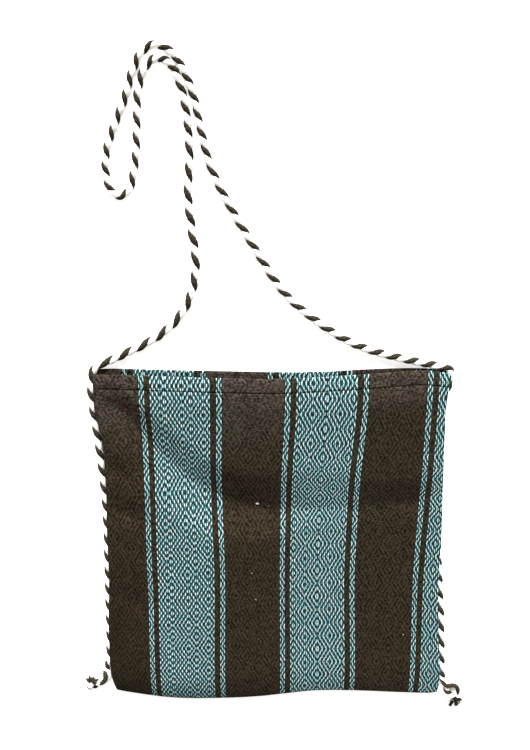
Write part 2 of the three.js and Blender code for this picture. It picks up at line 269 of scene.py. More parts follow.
rope_points = left_seam_route + strap_route[1:] + right_seam_route[1:]
rope_path, rope_stations = smooth_route([(x, y, rope_height) for x, y in rope_points], rope_spacing)
turns = np.interp(rope_stations, turn_places, turn_counts)
even_swells = [1] * len(dark_swells)
ply_angles = [math.pi / 2, -math.pi / 2]
rope_plies = [
    {"radius": 0.00250, "winding": 0.00125, "swells": dark_swells},
    {"radius": 0.00295, "winding": 0.00105, "swells": even_swells},
]
rope_tubes = []
for number, ply in enumerate(rope_plies):
    radii = ply["radius"] * np.interp(rope_stations, swell_places, ply["swells"])[:, None]
    rings = ply_rings(rope_path, turns, ply["winding"], radii, ply_angles[number], rope_stations)
    rope_tubes.append((rings, number, rope_stations))


def station_at(corner):
    """The rope's station nearest to a corner of its route."""
    return int(np.argmin(np.linalg.norm(rope_path[:, :2] - np.array(corner), axis=1)))


left_corner = station_at(strap_route[0])
right_corner = station_at(strap_route[-1])
rope_end = len(rope_path) - 1
rope_runs = {
    "left_seam_rope": (0, left_corner),
    "strap_rope": (left_corner, right_corner),
    "right_seam_rope": (right_corner, rope_end),
}
for node, (start, end) in rope_runs.items():
    run = [(rings[start:end + 1], ply, places[start:end + 1]) for rings, ply, places in rope_tubes]
    piece = tube_mesh("twisted_" + node, run, ply_materials)
    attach(piece, "root")
    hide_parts(node)


# Knots
# Each end of the rope is tied in an overhand knot below its seam, and the last of it is left to fray
# into loose yarns.
knot_windings = [0.00100, 0.00090]
knot_ply_radii = {"left_knot": [0.0029, 0.0026], "right_knot": [0.0025, 0.0027]}
knot_routes = {
    "left_knot": [
        (-0.1866, -0.1546, 0.0044), (-0.1862, -0.1586, 0.0074), (-0.1867, -0.1626, 0.0090),
        (-0.1893, -0.1674, 0.0096), (-0.1954, -0.1702, 0.0096), (-0.1998, -0.1692, 0.0096),
        (-0.2026, -0.1648, 0.0094), (-0.2026, -0.1594, 0.0082), (-0.1984, -0.1557, 0.0066),
        (-0.1918, -0.1551, 0.0050), (-0.1864, -0.1584, 0.0041), (-0.1846, -0.1654, 0.0040),
        (-0.1880, -0.1712, 0.0040), (-0.1936, -0.1689, 0.0040), (-0.1980, -0.1669, 0.0048),
        (-0.2009, -0.1718, 0.0047), (-0.2042, -0.1776, 0.0041), (-0.2074, -0.1800, 0.0040),
    ],
    "right_knot": [
        (0.1948, -0.1680, 0.0042), (0.1963, -0.1722, 0.0072), (0.1996, -0.1744, 0.0088),
        (0.2037, -0.1737, 0.0092), (0.2081, -0.1740, 0.0094), (0.2115, -0.1783, 0.0094),
        (0.2112, -0.1843, 0.0088), (0.2073, -0.1882, 0.0082), (0.2026, -0.1868, 0.0082),
        (0.1999, -0.1816, 0.0066), (0.2001, -0.1751, 0.0044), (0.2024, -0.1702, 0.0038),
        (0.2068, -0.1725, 0.0036), (0.2090, -0.1784, 0.0036), (0.2078, -0.1837, 0.0036),
        (0.2075, -0.1885, 0.0036), (0.2091, -0.1929, 0.0040), (0.2114, -0.1972, 0.0036),
    ],
}

# Turns of each knot's strand, by distance along it: the dark ply is on top at whole turns
knot_turn_places = {
    "left_knot": [
        0.0000, 0.0040, 0.0120, 0.0190, 0.0220, 0.0250, 0.0330, 0.0355,
        0.0410, 0.0470, 0.0600, 0.0700, 0.0780, 0.0920, 0.0980, 0.1050,
    ],
    "right_knot": [
        0.0000, 0.0040, 0.0130, 0.0270, 0.0340, 0.0390, 0.0440,
        0.0490, 0.0560, 0.0660, 0.0730, 0.0800, 0.0860, 0.0960,
    ],
}
knot_turn_counts = {
    "left_knot": [
        0.25, 0.80, 1.00, 1.12, 1.50, 1.88, 2.02, 2.45, 2.55, 2.60, 2.60, 2.48, 2.36, 2.36, 2.50, 3.00,
    ],
    "right_knot": [
        0.40, 0.92, 1.02, 1.06, 1.40, 1.60, 1.98, 2.50, 2.60, 2.58, 2.50, 2.52, 3.00, 3.05,
    ],
}
knot_spacing = 0.0007

# Locks of frayed yarn: which ply they come from, how far they swing from the tail, and their length
frayed_locks = {
    "left_knot": [
        {"ply": 0, "swing": -75, "length": 0.0072}, {"ply": 1, "swing": -46, "length": 0.0070},
        {"ply": 1, "swing": -20, "length": 0.0085}, {"ply": 0, "swing": 10, "length": 0.0072},
        {"ply": 1, "swing": 28, "length": 0.0080}, {"ply": 0, "swing": 92, "length": 0.0046},
    ],
    "right_knot": [
        {"ply": 0, "swing": -34, "length": 0.0150}, {"ply": 1, "swing": -24, "length": 0.0080},
        {"ply": 0, "swing": -9, "length": 0.0146}, {"ply": 0, "swing": 4, "length": 0.0134},
        {"ply": 0, "swing": 17, "length": 0.0122}, {"ply": 1, "swing": 38, "length": 0.0080},
    ],
}
lock_yarns = 10
lock_spread = 7
lock_setback = 0.0045
lock_half_width = 0.0016
lock_half_depth = 0.0010
root_least_height = 0.0016
yarn_lengths = (0.8, 1.05)
yarn_sides = 7
yarn_spacing = 0.0006
yarn_radius = 0.00085
yarn_tip_radius = 0.00040
yarn_sway = 0.0008
sway_back = 0.4
middle_share = 0.55
middle_hump = 0.0012
middle_root_share = 0.6
tip_reach = 0.0030
tip_heights = (0.0008, 0.0024)


def yarn_rings(points, root_radius, tip_radius):
    """Rings of a single loose yarn that thins towards its tip."""
    path, stations = smooth_route(points, yarn_spacing)
    nearly_up = np.array([[0.13, 0.21, 1.0]])
    share = (stations / stations[-1])[:, None, None]
    way = unit(np.gradient(path, axis=0))
    aside = unit(np.cross(way, nearly_up))
    upward = np.cross(aside, way)
    theta = np.linspace(0, 2 * np.pi, yarn_sides, endpoint=False)[None, :, None]
    radius = root_radius * (1 - share) + tip_radius * share
    ring = np.cos(theta) * aside[:, None] - np.sin(theta) * upward[:, None]
    return path[:, None] + radius * ring, stations


for node, route in knot_routes.items():
    chance = random.Random(node)
    path, stations = smooth_route(route, knot_spacing)
    turns = np.interp(stations, knot_turn_places[node], knot_turn_counts[node])
    tubes = []
    for number, radius in enumerate(knot_ply_radii[node]):
        rings = ply_rings(path, turns, knot_windings[number], radius, ply_angles[number], stations)
        tubes.append((rings, number, stations))
    tail_end = path[-1]
    tail_way = unit(path[-1:] - path[-2:-1])[0]
    heading = math.atan2(tail_way[1], tail_way[0])
    for lock in frayed_locks[node]:
        for _ in range(lock_yarns):
            spread = heading + math.radians(lock["swing"] + chance.uniform(-lock_spread, lock_spread))
            reach = lock["length"] * chance.uniform(*yarn_lengths)
            sway = chance.uniform(-yarn_sway, yarn_sway)
            across = np.array([-math.sin(spread), math.cos(spread), 0])
            ahead = np.array([math.cos(spread), math.sin(spread), 0])
            root = tail_end - tail_way * lock_setback
            root += across * chance.uniform(-lock_half_width, lock_half_width)
            root[2] = max(root[2], root_least_height) + chance.uniform(-lock_half_depth, lock_half_depth)
            tip_height = chance.uniform(*tip_heights)
            middle = root + ahead * (middle_share * reach + tip_reach / 2) + across * sway
            middle[2] = middle_root_share * root[2] + (1 - middle_root_share) * tip_height
            middle[2] += chance.uniform(0, middle_hump)
            tip = root + ahead * (reach + tip_reach) - across * sway * sway_back
            tip[2] = tip_height
            rings, yarn_stations = yarn_rings([root, middle, tip], yarn_radius, yarn_tip_radius)
            tubes.append((rings, lock["ply"], yarn_stations))
    piece = tube_mesh("twisted_" + node, tubes, ply_materials)
    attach(piece, "root")
    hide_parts(node)


# Cloth
# One handwoven length of wool twill, with turquoise warp stripes on dark brown, is folded at the
# bottom, hemmed at both ends and sewn along the sides to the rope. It lies creased from use.
cloth_thickness = 0.0012
lip_height = 0.0104
crown_height = 0.0132
crown_reach = 0.110
crease_fade = 0.040
bottom_fold_height = 0.0048
bottom_fold_reach = 0.042
edge_drop = 0.0009
edge_reach = 0.0028
hem_width = 0.0145
hem_roll = 0.0024
hem_step = 0.0004
hem_step_reach = 0.0008
stitch_groove = 0.0008
stitch_width = 0.0005
pucker = 0.0012
pucker_reach = 0.016
fold_radius = 0.00065

# The cloth's outline from above: side edges from the fold up, and the fold and mouth from left to right
side_heights = [-0.190, -0.168, -0.127, -0.083, -0.042, 0.026, 0.078, 0.127, 0.165, 0.198]
left_sides = [-0.1765, -0.1806, -0.1805, -0.1785, -0.1755, -0.1735, -0.1715, -0.1725, -0.1780, -0.1770]
right_sides = [0.1902, 0.1912, 0.1872, 0.1835, 0.1810, 0.1795, 0.1770, 0.1750, 0.1740, 0.1775]
cross_places = [-0.182, -0.164, -0.110, -0.045, 0.010, 0.050, 0.096, 0.150, 0.182, 0.191]
bottom_edges = [-0.1825, -0.1862, -0.1940, -0.1943, -0.1900, -0.1855, -0.1855, -0.1882, -0.1890, -0.1868]
front_edges = [0.1950, 0.1960, 0.1945, 0.1925, 0.1920, 0.1940, 0.1970, 0.2005, 0.1960, 0.1940]
back_edges = [0.1980, 0.2000, 0.1990, 0.1975, 0.1965, 0.1970, 0.1995, 0.2005, 0.1970, 0.1950]

# Creases in the front: each point's place, how far the cloth falls to it from above and over what
# reach, and how far it rises again below and over what reach
front_creases = [
    [
        {"x": -0.174, "y": 0.172, "fall": 0.0040, "above": 0.020, "rise": 0.0056, "below": 0.029},
        {"x": -0.148, "y": 0.156, "fall": 0.0064, "above": 0.022, "rise": 0.0098, "below": 0.031},
        {"x": -0.131, "y": 0.133, "fall": 0.0066, "above": 0.028, "rise": 0.0086, "below": 0.036},
        {"x": -0.115, "y": 0.113, "fall": 0.0068, "above": 0.033, "rise": 0.0080, "below": 0.044},
        {"x": -0.085, "y": 0.083, "fall": 0.0072, "above": 0.035, "rise": 0.0084, "below": 0.047},
        {"x": -0.062, "y": 0.066, "fall": 0.0084, "above": 0.039, "rise": 0.0102, "below": 0.047},
        {"x": -0.038, "y": 0.053, "fall": 0.0094, "above": 0.044, "rise": 0.0120, "below": 0.047},
        {"x": -0.008, "y": 0.047, "fall": 0.0094, "above": 0.046, "rise": 0.0108, "below": 0.038},
        {"x": 0.013, "y": 0.047, "fall": 0.0074, "above": 0.050, "rise": 0.0050, "below": 0.030},
        {"x": 0.036, "y": 0.048, "fall": 0.0056, "above": 0.050, "rise": 0.0020, "below": 0.020},
        {"x": 0.072, "y": 0.049, "fall": 0.0046, "above": 0.046, "rise": 0.0010, "below": 0.020},
        {"x": 0.112, "y": 0.052, "fall": 0.0056, "above": 0.034, "rise": 0.0016, "below": 0.018},
        {"x": 0.150, "y": 0.057, "fall": 0.0056, "above": 0.032, "rise": 0.0018, "below": 0.020},
        {"x": 0.178, "y": 0.067, "fall": 0.0016, "above": 0.026, "rise": 0.0010, "below": 0.020},
    ],
    [
        {"x": -0.178, "y": 0.106, "fall": 0.0028, "above": 0.022, "rise": 0.0028, "below": 0.014},
        {"x": -0.156, "y": 0.090, "fall": 0.0030, "above": 0.022, "rise": 0.0030, "below": 0.014},
        {"x": -0.132, "y": 0.074, "fall": 0.0, "above": 0.020, "rise": 0.0, "below": 0.014},
    ],
    [
        {"x": -0.175, "y": 0.057, "fall": 0.0030, "above": 0.022, "rise": 0.0034, "below": 0.016},
        {"x": -0.152, "y": 0.043, "fall": 0.0032, "above": 0.022, "rise": 0.0034, "below": 0.018},
        {"x": -0.126, "y": 0.028, "fall": 0.0, "above": 0.020, "rise": 0.0, "below": 0.016},
    ],
    [
        {"x": -0.176, "y": -0.052, "fall": 0.0052, "above": 0.048, "rise": 0.0010, "below": 0.020},
        {"x": -0.150, "y": -0.066, "fall": 0.0048, "above": 0.046, "rise": 0.0010, "below": 0.020},
        {"x": -0.124, "y": -0.080, "fall": 0.0, "above": 0.036, "rise": 0.0, "below": 0.020},
    ],
]


def between(places, values, at):
    """Smooth values between a table's entries."""
    places, values = np.array(places), np.array(values)
    slopes = np.empty(len(places))
    slopes[1:-1] = (values[2:] - values[:-2]) / (places[2:] - places[:-2])
    slopes[0] = (values[1] - values[0]) / (places[1] - places[0])
    slopes[-1] = (values[-1] - values[-2]) / (places[-1] - places[-2])
    i = np.clip(np.searchsorted(places, at) - 1, 0, len(places) - 2)
    step = places[i + 1] - places[i]
    s = np.clip((at - places[i]) / step, 0, 1)
    return (
        values[i] * (1 + 2 * s) * (1 - s) ** 2 + slopes[i] * step * s * (1 - s) ** 2
        + values[i + 1] * s * s * (3 - 2 * s) + slopes[i + 1] * step * s * s * (s - 1)
    )


def round_rise(distance, reach):
    """A quarter round that climbs from 0 at an edge to 1 at its reach."""
    rest = 1 - np.clip(distance / reach, 0, 1)
    return np.sqrt(1 - rest * rest)


def steady_climb(distance, reach):
    """A straight climb from 0 to 1 over a reach, which sets in sharply and ends softly."""
    sharp, soft = 0.05, 0.25
    least_reach = 0.001
    share = np.clip(distance / np.maximum(reach, least_reach), 0, 1)
    set_in = np.clip(share, 0, sharp) ** 2 / (2 * sharp)
    straight = np.clip(share - sharp, 0, 1 - sharp - soft)
    ending = soft / 2 - np.clip(1 - share, 0, soft) ** 2 / (2 * soft)
    return (set_in + straight + ending) / (1 - (sharp + soft) / 2)


def crease_drop(x, y):
    """How far the creases draw the front panel down."""
    drop = np.zeros_like(x)
    for crease in front_creases:
        nearest = np.full_like(x, np.inf)
        here = {key: np.zeros_like(x) for key in ("fall", "above", "rise", "below", "side")}
        for start, end in zip(crease, crease[1:]):
            run_x, run_y = end["x"] - start["x"], end["y"] - start["y"]
            share = ((x - start["x"]) * run_x + (y - start["y"]) * run_y) / (run_x ** 2 + run_y ** 2)
            share = np.clip(share, 0, 1)
            off_x, off_y = x - start["x"] - share * run_x, y - start["y"] - share * run_y
            distance = np.hypot(off_x, off_y)
            closer = distance < nearest
            nearest = np.where(closer, distance, nearest)
            here["side"] = np.where(closer, off_y, here["side"])
            for key in ("fall", "above", "rise", "below"):
                here[key] = np.where(closer, start[key] + share * (end[key] - start[key]), here[key])
        falling = here["fall"] * (1 - steady_climb(nearest, here["above"]))
        rising = here["fall"] - here["rise"] * steady_climb(nearest, here["below"])
        drop += np.where(here["side"] > 0, falling, rising)
    return drop


def front_height(x, y):
    """Height of the front panel's outside."""
    from_left = x - between(side_heights, left_sides, y)
    from_right = between(side_heights, right_sides, y) - x
    from_side = np.maximum(np.minimum(from_left, from_right), 0)
    from_bottom = y - between(cross_places, bottom_edges, x)
    from_mouth = between(cross_places, front_edges, x) - y
    crown = (crown_height - lip_height) * round_rise(from_side, crown_reach)
    lip = lip_height - edge_drop * (1 - round_rise(from_side, edge_reach))
    open_height = lip + crown - crease_drop(x, y) * round_rise(from_side, crease_fade)
    opened = round_rise(from_bottom, bottom_fold_reach)
    height = bottom_fold_height + (open_height - bottom_fold_height) * opened
    below_stitch = from_mouth - hem_width
    rolled = hem_roll * np.clip(-below_stitch / hem_width, 0, 1) ** 2
    rolled -= hem_step * np.clip(-below_stitch / hem_step_reach, 0, 1)
    drawn = pucker * np.clip(1 - np.maximum(below_stitch, 0) / pucker_reach, 0, 1) ** 2
    groove = stitch_groove * np.exp(-(below_stitch / stitch_width) ** 2)
    return height - rolled - drawn - groove


# Stations across and along the front panel, closer together at edges, hem and stitching
across_count = 134
across_stations = np.concatenate([[0.006, 0.010], np.linspace(0.016, 0.984, across_count), [0.990, 0.994]])
panel_length = 0.385
hem_zone = 0.0200
hem_steps = np.array([
    0.0175, 0.0160, 0.0152, 0.0145, 0.0138, 0.0130, 0.0115, 0.0090, 0.0060, 0.0030, 0.0014,
])
along_count = 142
below_hem = np.linspace(0, 1 - hem_zone / panel_length, along_count)
along_stations = np.concatenate([below_hem, 1 - hem_steps / panel_length])
back_count = 60
lip_angles = np.radians([90, 45, 0, -45, -90])
tuck_angles = np.radians([30, 60, 90])
side_columns = len(lip_angles) + len(tuck_angles)
seam_height = 0.0040
seam_lift = 0.0003
seam_gap = 0.0004
seam_inset_least = 0.0022
seam_inset_most = 0.0075
rope_gap = 0.0007
floor_gap = 0.0001
back_turn = 0.0030
back_bow = 0.0012

seam_rope_left = rope_path[rope_runs["left_seam_rope"][0]:rope_runs["left_seam_rope"][1]]
seam_rope_right = rope_path[rope_runs["right_seam_rope"][0]:rope_runs["right_seam_rope"][1]][::-1]


def seam_insets(levels):
    """How far in from each cloth edge the side seam lies, beside the rope."""
    beside = rope_diameter / 2 + rope_gap
    left_rope = np.interp(levels, seam_rope_left[:, 1], seam_rope_left[:, 0])
    right_rope = np.interp(levels, seam_rope_right[:, 1], seam_rope_right[:, 0])
    left = left_rope + beside - between(side_heights, left_sides, levels)
    right = between(side_heights, right_sides, levels) - (right_rope - beside)
    return [np.clip(inset, seam_inset_least, seam_inset_most) for inset in (left, right)]


def seam_level(edge_height):
    """Height of a side seam, which sinks where the front's edge above it lies low."""
    return np.minimum(seam_height, 0.5 * (edge_height - 2 * fold_radius) + seam_lift)


def front_rows(stations):
    """Rows of the front panel's middle layer, from seam to seam, rolled under at both side edges."""
    levels = side_heights[0] + stations * (side_heights[-1] - side_heights[0])
    left = between(side_heights, left_sides, levels)
    right = between(side_heights, right_sides, levels)
    x = left[:, None] + across_stations[None, :] * (right - left)[:, None]
    low = between(cross_places, bottom_edges, x) + bottom_fold_height / 2
    high = between(cross_places, front_edges, x)
    y = low + stations[:, None] * (high - low)
    z = front_height(x, y) - cloth_thickness / 2
    inset_left, inset_right = seam_insets(levels)
    sides = []
    for edge, inward, inset, column in ((left, 1, inset_left, 0), (right, -1, inset_right, -1)):
        top = z[:, column]
        under = top - 2 * fold_radius
        seam = seam_level(top)
        lip_reach = fold_radius + cloth_thickness / 2
        columns = []
        for angle in lip_angles:
            side_x = edge + inward * (lip_reach - fold_radius * math.cos(angle))
            side_z = top - fold_radius + fold_radius * math.sin(angle)
            columns.append((side_x, y[:, column], side_z))
        for angle in tuck_angles:
            side_x = edge + inward * (lip_reach + (inset - lip_reach) * math.sin(angle))
            side_z = seam + (under - seam) * math.cos(angle)
            columns.append((side_x, y[:, column], side_z))
        sides.append(np.array(columns).transpose(2, 0, 1))
    return np.concatenate([sides[0][:, ::-1], np.stack([x, y, z], axis=2), sides[1]], axis=1)


def back_rows(stations):
    """Rows of the back panel's middle layer, turned up at both sides to meet the front at the seams."""
    levels = side_heights[0] + stations * (side_heights[-1] - side_heights[0])
    inset_left, inset_right = seam_insets(levels)
    left = between(side_heights, left_sides, levels) + inset_left
    right = between(side_heights, right_sides, levels) - inset_right
    flat_left, flat_right = left + back_turn, right - back_turn
    x = flat_left[:, None] + across_stations[None, :] * (flat_right - flat_left)[:, None]
    low = between(cross_places, bottom_edges, x) + bottom_fold_height / 2
    high = between(cross_places, back_edges, x)
    y = low + stations[:, None] * (high - low)
    lying = cloth_thickness / 2 + floor_gap
    z = np.full_like(x, lying)
    beside_edge = between(side_heights, left_sides, levels) + seam_inset_least
    seam = seam_level(front_height(beside_edge, levels) - cloth_thickness / 2) - seam_gap
    share = np.linspace(0, 1, side_columns)
    bow = back_bow * np.sin(share * np.pi)
    side_z = lying + (seam - lying)[:, None] * (1 - np.cos(share * np.pi / 2))
    sides = []
    for edge, flat, outward, column in ((left, flat_left, -1, 0), (right, flat_right, 1, -1)):
        side_x = flat[:, None] + (edge - flat)[:, None] * share + outward * bow
        side_y = np.repeat(y[:, column][:, None], side_columns, axis=1)
        sides.append(np.stack([side_x, side_y, side_z], axis=2))
    return np.concatenate([sides[0][:, ::-1], np.stack([x, y, z], axis=2), sides[1]], axis=1)


def turned_rows(edge_row, upward):
    """Rows that turn a mouth edge over in a small fold and lay the hem along the inside."""
    rows = []
    for angle in np.radians([30, 60, 90, 120, 150, 180]):
        row = edge_row.copy()
        row[:, 1] += fold_radius * math.sin(angle)
        row[:, 2] += upward * fold_radius * (1 - math.cos(angle))
        rows.append(row)
    for distance in (0.002, 0.006, 0.010, hem_width):
        row = edge_row.copy()
        row[:, 1] -= distance
        row[:, 2] += upward * 2 * fold_radius
        rows.append(row)
    return np.stack(rows)


front = front_rows(along_stations)
back_stations = np.linspace(0, 1 - (fold_radius + cloth_thickness / 2) / panel_length, back_count)
back = back_rows(back_stations)
fold_rows = []
fold_middle = (bottom_fold_height - cloth_thickness) / 2
for angle in np.radians([22.5, 45, 67.5, 90, 112.5, 135, 157.5]):
    share = (1 - math.cos(angle)) / 2
    row = front[0] * (1 - share) + back[0] * share
    row[:, 1] -= fold_middle * math.sin(angle)
    fold_rows.append(row)
front_hem = turned_rows(front[-1], -1)
back_hem = turned_rows(back[-1], 1)
strip = np.concatenate([front_hem[::-1], front[::-1], np.stack(fold_rows), back, back_hem])

# How far the warp drifts sideways, at six places across the cloth and four heights
drift_places = [-0.127, -0.057, 0.013, 0.053, 0.088, 0.153]
drift_heights = [-0.173, -0.018, 0.068, 0.173]
drifts = [
    [-0.0025, -0.0010, -0.0005, 0.0005, 0.0020, 0.0030],
    [0.0000, 0.0015, -0.0020, -0.0025, -0.0030, -0.0012],
    [0.0015, -0.0010, -0.0010, -0.0015, -0.0020, 0.0000],
    [0.0005, 0.0007, 0.0023, 0.0030, 0.0035, 0.0000],
]
back_skew = 0.015

# Heights of some rows of diamonds, counted from the mouth, in the middles of the two wide stripes
weft_rows = [24, 18, 14, 12, 10, 8, 6, 2]
heights_in_first = [-0.1650, -0.0744, -0.0108, 0.0183, 0.0500, 0.0844, 0.1113, 0.1691]
heights_in_second = [-0.1592, -0.0564, 0.0078, 0.0360, 0.0616, 0.0840, 0.1090, 0.1723]
weft_row_height = 0.0160
first_middle, second_middle = -0.088, 0.054


def warp_across(x, y):
    """Distance across the cloth, measured on its straight warp."""
    rows = np.stack([np.interp(x, drift_places, row) for row in drifts])
    place = np.interp(y, drift_heights, np.arange(len(drift_heights)))
    low = np.clip(place.astype(int), 0, len(drift_heights) - 2)
    share = place - low
    share = share * share * (3 - 2 * share)
    picked = np.take_along_axis(rows, np.stack([low, low + 1]), axis=0)
    return x - (picked[0] * (1 - share) + picked[1] * share)


def weft_along(x, y):
    """Distance along the cloth, measured on its picks."""
    share = np.clip((x - first_middle) / (second_middle - first_middle), 0, 1)
    distances = -weft_row_height * np.array(weft_rows)
    values = []
    for heights in (heights_in_first, heights_in_second):
        inner = between(heights, distances, y)
        past_top = np.maximum(y - heights[-1], 0)
        past_bottom = np.minimum(y - heights[0], 0)
        values.append(inner + past_top + past_bottom)
    return values[0] * (1 - share) + values[1] * share


row_count, column_count = strip.shape[:2]
front_count = len(front_hem) + len(front)
warp_u = np.zeros((row_count, column_count))
weft_v = np.zeros((row_count, column_count))
steps = np.linalg.norm(np.diff(strip, axis=0), axis=2)
for r in range(row_count):
    x, y = strip[r, :, 0], strip[r, :, 1]
    if r < front_count:
        warp_u[r] = warp_across(x, y)
    else:
        share = (r - front_count) / (row_count - front_count)
        warp_u[r] = warp_across(x, np.full_like(y, drift_heights[0])) + back_skew * share
first_front = len(front_hem)
for r in range(first_front, front_count):
    weft_v[r] = weft_along(strip[r, :, 0], strip[r, :, 1])
for r in range(first_front - 1, -1, -1):
    weft_v[r] = weft_v[r + 1] + steps[r]
for r in range(front_count, row_count):
    weft_v[r] = weft_v[r - 1] - steps[r - 1]

# Across the rolled sides the warp goes on by its own length
side_steps = np.linalg.norm(np.diff(strip, axis=1), axis=2)
for c in range(side_columns - 1, -1, -1):
    warp_u[:, c] = warp_u[:, c + 1] - side_steps[:, c]
for c in range(column_count - side_columns, column_count):
    warp_u[:, c] = warp_u[:, c - 1] + side_steps[:, c - 1]

corner = np.arange(row_count * column_count).reshape(row_count, column_count)
quads = np.stack([corner[:-1, :-1], corner[1:, :-1], corner[1:, 1:], corner[:-1, 1:]], axis=2)
quads = quads.reshape(-1, 4)
cloth_mesh = bpy.data.meshes.new("woven_cloth_body")
cloth_mesh.from_pydata(strip.reshape(-1, 3).tolist(), [], quads.tolist())
cloth_mesh.polygons.foreach_set("use_smooth", [True] * len(quads))
weave_map = cloth_mesh.uv_layers.new(name="weave")
weave_uv = np.stack([warp_u.ravel(), weft_v.ravel()], axis=1)[quads.ravel()]
weave_map.data.foreach_set("uv", weave_uv.ravel())
cloth = bpy.data.objects.new("woven_cloth_body", cloth_mesh)
scene.collection.objects.link(cloth)
bpy.ops.object.select_all(action="DESELECT")
cloth.select_set(True)
bpy.context.view_layer.objects.active = cloth
wall = cloth.modifiers.new("wall", "SOLIDIFY")
wall.thickness = cloth_thickness
wall.offset = 0
bpy.ops.object.modifier_apply(modifier="wall")

# The twill, in millimetres or in numbers of yarns: a point threading turns the warp ends, and the
# treadling turns the picks, into diamonds
end_width = 1.07
pick_height = 2.0
stripe_repeat = 143.2
wide_middle = -91.7
wide_half = 29.9
narrow_middle = 38.2
narrow_half = 2.9
narrow_pairs = 3
plain_start = 41.97
left_shift = 5
third_start = 244.4
third_shift = 6
point_ends = 12
point_picks = 8
uneven_start = 15
uneven_turns = [-20.3, -16, 1, 9.5, 23]
uneven_margin = 1
warp_cover = 0.05
lift_gain = 3
pair_edge = 0.38
pair_fade = -0.15

woven = bpy.data.materials.new("diamond_twill")
woven.use_nodes = True
weave_nodes, weave_links = woven.node_tree.nodes, woven.node_tree.links
weave_shader = weave_nodes["Principled BSDF"]
weave_shader.inputs["Roughness"].default_value = 0.95
weave_shader.inputs["Specular IOR Level"].default_value = 0.03


def weave_math(operation, first, second=None, third=None, clamp=False):
    """One step of the weave's arithmetic, on numbers or on other steps' results."""
    node = weave_nodes.new("ShaderNodeMath")
    node.operation = operation
    node.use_clamp = clamp
    for socket, value in zip(node.inputs, (first, second, third)):
        if isinstance(value, bpy.types.NodeSocket):
            weave_links.new(value, socket)
        elif value is not None:
            socket.default_value = value
    return node.outputs["Value"]


def weave_mix(factor, first, second):
    """A blend of two of the cloth's colours."""
    node = weave_nodes.new("ShaderNodeMix")
    node.data_type = "RGBA"
    weave_links.new(factor, node.inputs["Factor"])
    for socket, value in ((node.inputs["A"], first), (node.inputs["B"], second)):
        if isinstance(value, bpy.types.NodeSocket):
            weave_links.new(value, socket)
        else:
            socket.default_value = (*value, 1)
    return node.outputs["Result"]


def weave_ramp(value, start, reach):
    """A straight climb from 0 at a start to 1 a reach further on, and level before and after."""
    return weave_math("DIVIDE", weave_math("SUBTRACT", value, start), reach, clamp=True)


def weave_choice(share, first, second):
    """A number that goes from the first to the second by a share."""
    return weave_math("MULTIPLY_ADD", share, weave_math("SUBTRACT", second, first), first)


weave_place = weave_nodes.new("ShaderNodeUVMap")
weave_place.uv_map = "weave"
split = weave_nodes.new("ShaderNodeSeparateXYZ")
weave_links.new(weave_place.outputs["UV"], split.inputs["Vector"])
across_mm = weave_math("MULTIPLY", split.outputs["X"], 1000)
along_mm = weave_math("MULTIPLY", split.outputs["Y"], 1000)

# Stripes, by distance from the nearest wide stripe's middle
from_middle = weave_math("SUBTRACT", across_mm, wide_middle)
from_wide = weave_math("PINGPONG", from_middle, stripe_repeat / 2)
in_wide = weave_math("LESS_THAN", from_wide, wide_half)
in_narrow = weave_math("COMPARE", from_wide, narrow_middle, narrow_half)
in_stripe = weave_math("MAXIMUM", in_wide, in_narrow)

# Threading: even points counted from the second wide stripe, out of step at both sides of the cloth,
# and uneven turns in the first wide stripe
from_second = weave_math("ABSOLUTE", weave_math("SUBTRACT", from_middle, stripe_repeat))
second_end = weave_math("FLOOR", weave_math("DIVIDE", from_second, end_width))
outer_end = weave_math("FLOOR", weave_math("DIVIDE", from_wide, end_width))
in_left = weave_math("LESS_THAN", from_middle, -wide_half)
in_third = weave_math("GREATER_THAN", from_middle, third_start)
outer_end = weave_math("MULTIPLY_ADD", in_left, left_shift, outer_end)
outer_end = weave_math("MULTIPLY_ADD", in_third, third_shift, outer_end)
in_outer = weave_math("MAXIMUM", in_left, in_third)
even_end = weave_choice(in_outer, second_end, outer_end)
even_thread = weave_math("PINGPONG", even_end, point_ends)
uneven_end = weave_math("FLOOR", weave_math("DIVIDE", from_middle, end_width))
uneven_thread = weave_math("ADD", uneven_end, uneven_start)
for number, turn in enumerate(uneven_turns):
    past = weave_math("MAXIMUM", weave_math("SUBTRACT", uneven_end, round(turn / end_width)), 0)
    uneven_thread = weave_math("MULTIPLY_ADD", past, -2 if number % 2 == 0 else 2, uneven_thread)
in_first = weave_math("COMPARE", from_middle, 0, wide_half + uneven_margin)
thread = weave_choice(in_first, even_thread, uneven_thread)

# The narrow stripes are threaded straight, in three pairs of ends
narrow_place = weave_math("SUBTRACT", from_wide, narrow_middle - narrow_half)
narrow_pair = weave_math("DIVIDE", narrow_place, 2 * narrow_half / narrow_pairs)
narrow_end = weave_math("FLOOR", weave_math("MULTIPLY", narrow_pair, 2))
thread = weave_choice(in_narrow, thread, narrow_end)

# Treadling, and which yarn is on top: the ends show in rounded pairs, darkened at their edges as painted
# shade between them
tread = weave_math("PINGPONG", weave_math("DIVIDE", along_mm, pick_height), point_picks)
phase = weave_math("ADD", thread, tread)
lift = weave_math("SINE", weave_math("MULTIPLY", phase, math.pi / 2))
lift = weave_math("ADD", lift, warp_cover)
wide_pair = weave_math("DIVIDE", across_mm, 2 * end_width)
pair_place = weave_math("FRACT", weave_choice(in_narrow, wide_pair, narrow_pair))
off_pair = weave_math("ABSOLUTE", weave_math("SUBTRACT", pair_place, 0.5))
pair_round = weave_ramp(off_pair, pair_edge, pair_fade)
lifted = weave_math("MULTIPLY", lift, lift_gain, clamp=True)
warp_up = weave_math("MULTIPLY", lifted, pair_round)
warp_crown = weave_math("MULTIPLY", weave_math("MULTIPLY", lift, 1, clamp=True), pair_round)


